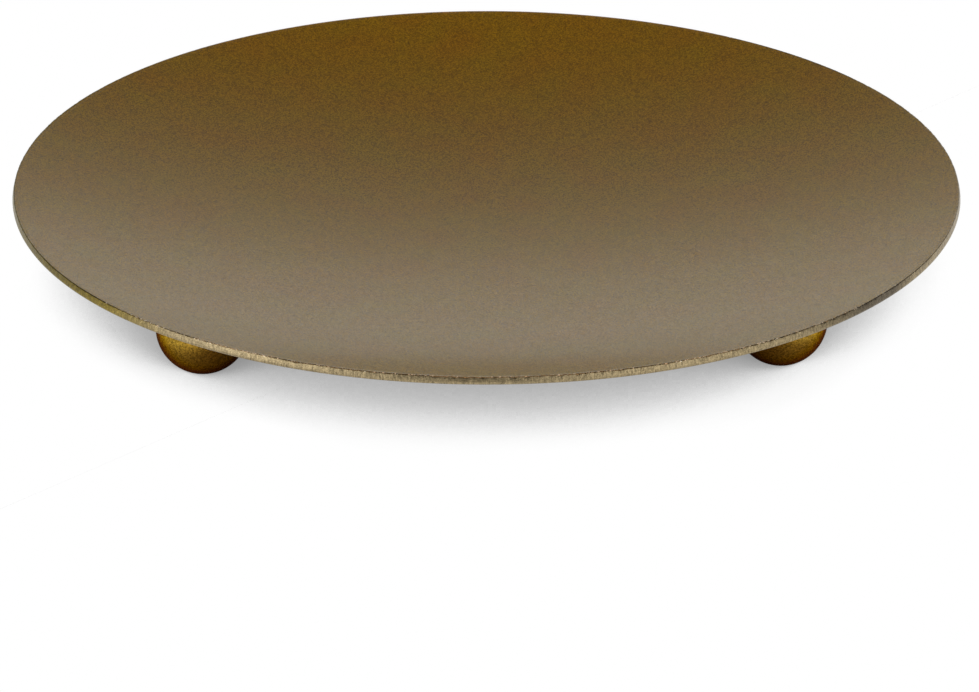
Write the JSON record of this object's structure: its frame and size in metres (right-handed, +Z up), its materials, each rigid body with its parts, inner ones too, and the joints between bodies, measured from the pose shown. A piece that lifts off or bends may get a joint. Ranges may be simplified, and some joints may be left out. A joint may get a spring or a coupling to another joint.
{
  "type": "candle plate",
  "caption": "Round, shallow, dished plate of pressed sheet metal in satin antique gold, standing on small welded ball feet, to hold a candle.",
  "frame": {"origin": "on the standing plane, straight below the middle of the dish", "axes": "+Z up; +Y towards the single rear foot, away from the side that the picture is taken from; +X to the right as seen from that side"},
  "size_m": [0.085, 0.085, 0.0116],
  "materials": {
    "gold_sheet": "satin antique-gold metallic lacquer on pressed sheet steel, with a raw-looking cut edge",
    "gold_balls": "satin antique-gold metallic lacquer on steel balls",
    "gold_beads": "the same lacquer over a small weld bead, duller and rougher"
  },
  "bodies": {
    "root": {"dish": "gold_sheet", "foot_rear": "gold_balls", "foot_left": "gold_balls", "foot_right": "gold_balls", "weld_rear": "gold_beads", "weld_left": "gold_beads", "weld_right": "gold_beads"}
  },
  "joints": []
}
